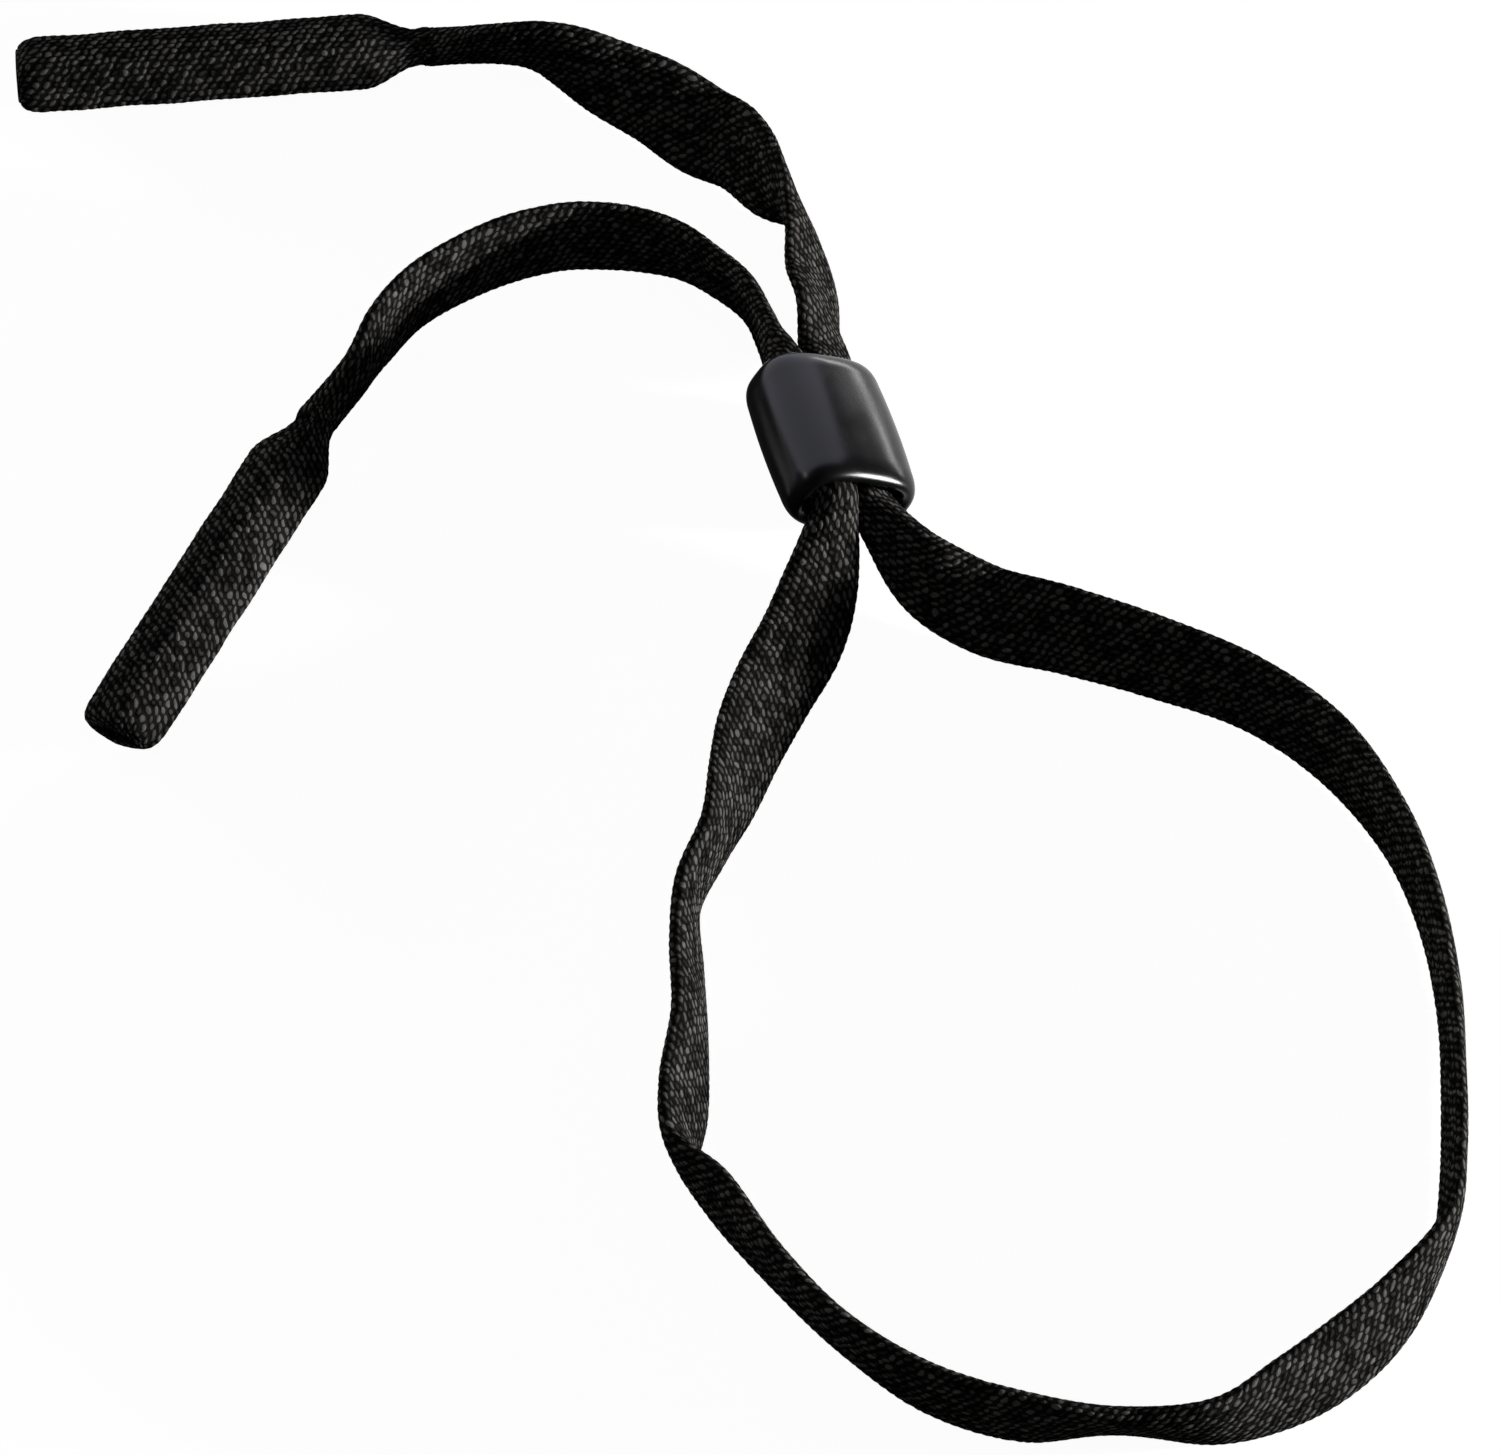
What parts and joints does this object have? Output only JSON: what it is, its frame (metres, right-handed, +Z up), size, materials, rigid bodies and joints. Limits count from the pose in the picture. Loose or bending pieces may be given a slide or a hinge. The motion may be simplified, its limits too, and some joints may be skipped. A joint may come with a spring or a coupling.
{
  "type": "eyeglass retainer strap",
  "caption": "Flat braided cord doubled through an oval slider, with padded sleeves that grip temple tips and a loop that hangs round the neck.",
  "frame": {"origin": "middle of the laid-out part's outline, at table level", "axes": "+Y along the slider's slot, away from the neck loop; +X to the right of it, with the sleeves towards -X; +Z up from the table"},
  "size_m": [0.1626, 0.2621, 0.017],
  "materials": {
    "slider_plastic": "semi-gloss",
    "braid": "tubular polyester braid",
    "sleeve_braid": "padded braid",
    "liner_elastomer": "soft grip tube"
  },
  "bodies": {
    "strap": {"left_arm": "braid", "right_arm": "braid", "neck_loop": "braid", "left_sleeve": "sleeve_braid", "right_sleeve": "sleeve_braid", "left_liner": "liner_elastomer", "right_liner": "liner_elastomer"},
    "slider": {"slider": "slider_plastic", "left_run": "braid", "right_run": "braid"}
  },
  "joints": [
    {"name": "slider_slide", "type": "slide", "parent": "strap", "child": "slider", "axis": [0, 1, 0], "range_m": [-0.06, 0.03], "deforming": ["left_arm", "right_arm", "neck_loop"]}
  ]
}
